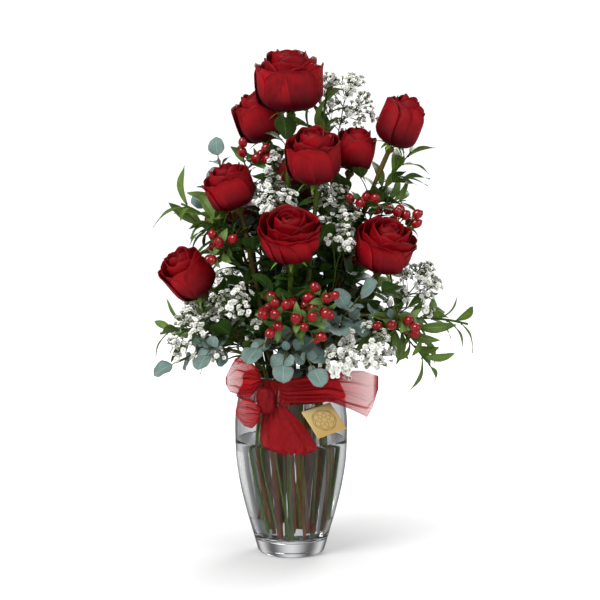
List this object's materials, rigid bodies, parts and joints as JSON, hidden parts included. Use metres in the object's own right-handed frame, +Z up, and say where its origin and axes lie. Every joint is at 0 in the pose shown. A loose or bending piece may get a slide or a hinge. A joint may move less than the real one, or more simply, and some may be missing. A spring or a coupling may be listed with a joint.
{
  "type": "roses in a vase",
  "caption": "Red roses with berries, baby's breath and mixed greenery standing in water in a clear glass vase, with a red tulle bow and a gold card at its neck.",
  "frame": {"origin": "centre of the flat foot of the vase, on the surface it stands on", "axes": "+Z up the vase, -Y towards the side with the bow and the card, +X towards the right seen from that side"},
  "size_m": [0.3603, 0.2439, 0.568],
  "materials": {
    "clear_glass": "polished",
    "water": "polished",
    "rose_petal": "matte",
    "rose_stem": "matte",
    "hypericum": "gloss",
    "eucalyptus_leaf": "matte",
    "ruscus_leaf": "satin",
    "salal_leaf": "satin",
    "babys_breath": "matte",
    "red_tulle": "matte",
    "gold_card": "satin"
  },
  "bodies": {
    "root": {"babys_breath_1": "babys_breath", "babys_breath_2": "babys_breath", "babys_breath_3": "babys_breath", "babys_breath_4": "babys_breath", "babys_breath_5": "babys_breath", "babys_breath_6": "babys_breath", "babys_breath_7": "babys_breath", "babys_breath_8": "babys_breath", "bow_band": "red_tulle", "bow_knot": "red_tulle", "bow_loop_left_lower": "red_tulle", "bow_loop_left_upper": "red_tulle", "bow_loop_right": "red_tulle", "bow_tail": "red_tulle", "eucalyptus_1": "eucalyptus_leaf", "eucalyptus_2": "eucalyptus_leaf", "eucalyptus_3": "eucalyptus_leaf", "eucalyptus_4": "eucalyptus_leaf", "eucalyptus_5": "eucalyptus_leaf", "hypericum_1": "hypericum", "hypericum_2": "hypericum", "hypericum_3": "hypericum", "hypericum_4": "hypericum", "hypericum_5": "hypericum", "rose_10_bloom": "rose_petal", "rose_10_stem": "rose_stem", "rose_11_bloom": "rose_petal", "rose_11_stem": "rose_stem", "rose_12_bloom": "rose_petal", "rose_12_stem": "rose_stem", "rose_1_bloom": "rose_petal", "rose_1_stem": "rose_stem", "rose_2_bloom": "rose_petal", "rose_2_stem": "rose_stem", "rose_3_bloom": "rose_petal", "rose_3_stem": "rose_stem", "rose_4_bloom": "rose_petal", "rose_4_stem": "rose_stem", "rose_5_bloom": "rose_petal", "rose_5_stem": "rose_stem", "rose_6_bloom": "rose_petal", "rose_6_stem": "rose_stem", "rose_7_bloom": "rose_petal", "rose_7_stem": "rose_stem", "rose_8_bloom": "rose_petal", "rose_8_stem": "rose_stem", "rose_9_bloom": "rose_petal", "rose_9_stem": "rose_stem", "ruscus_1": "ruscus_leaf", "ruscus_2": "ruscus_leaf", "ruscus_3": "ruscus_leaf", "ruscus_4": "ruscus_leaf", "ruscus_5": "ruscus_leaf", "salal_1": "salal_leaf", "salal_2": "salal_leaf", "salal_3": "salal_leaf", "tag_card": "gold_card", "vase": "clear_glass", "water": "water"}
  },
  "joints": []
}
